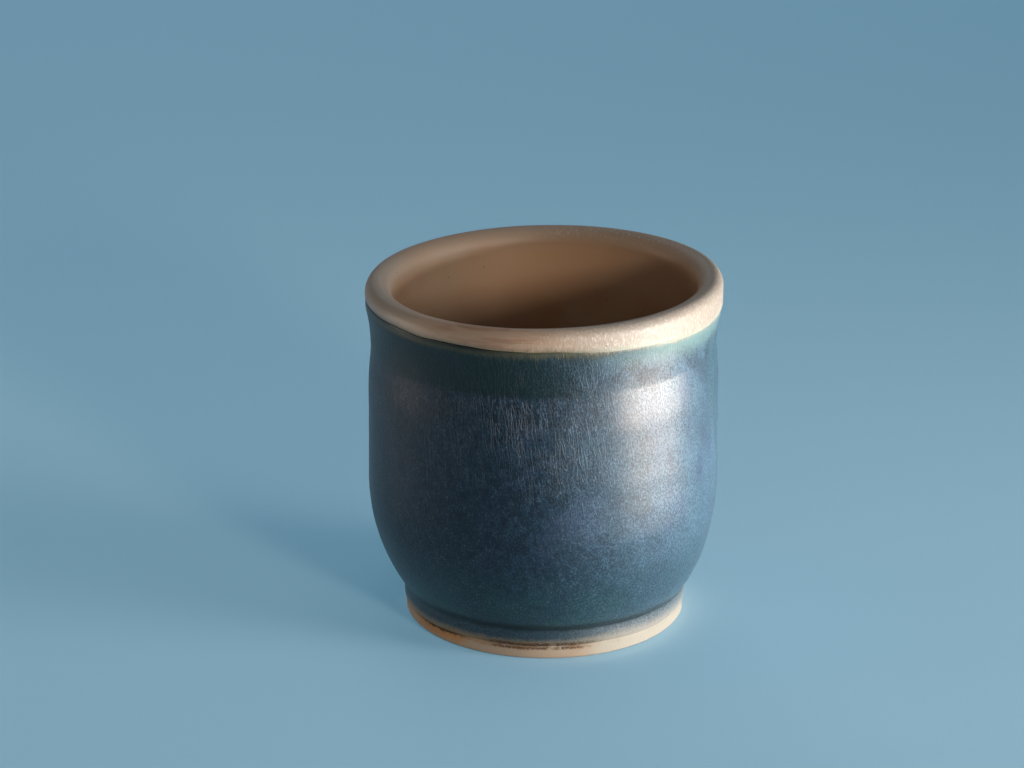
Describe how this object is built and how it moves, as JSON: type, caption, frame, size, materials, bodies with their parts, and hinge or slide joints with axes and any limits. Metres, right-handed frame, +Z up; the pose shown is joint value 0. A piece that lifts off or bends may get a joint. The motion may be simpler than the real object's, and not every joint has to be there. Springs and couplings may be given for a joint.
{
  "type": "stoneware teacup",
  "caption": "Handleless wheel-thrown teacup with a softly bellied wall, a gentle neck, a rolled lip and a low trimmed foot; blue-grey glaze outside, tan liner glaze over the lip.",
  "frame": {"origin": "centre of the foot, on the surface that the cup stands on", "axes": "+Z up along the wheel's axis; +X and +Y level, the cup is round about Z"},
  "size_m": [0.084, 0.084, 0.0834],
  "materials": {
    "bare_clay": "bare high-fired stoneware, matt, cream with a faint pink flash",
    "blue_glaze": "satin-matt slate-blue glaze, finely streaked, green where thick under the lip and by the foot",
    "tan_glaze": "satin tan liner glaze, paler and finely crystalline where it breaks over the lip"
  },
  "bodies": {
    "root": {"clay_body": "bare_clay", "outer_glaze": "blue_glaze", "liner_glaze": "tan_glaze"}
  },
  "joints": []
}
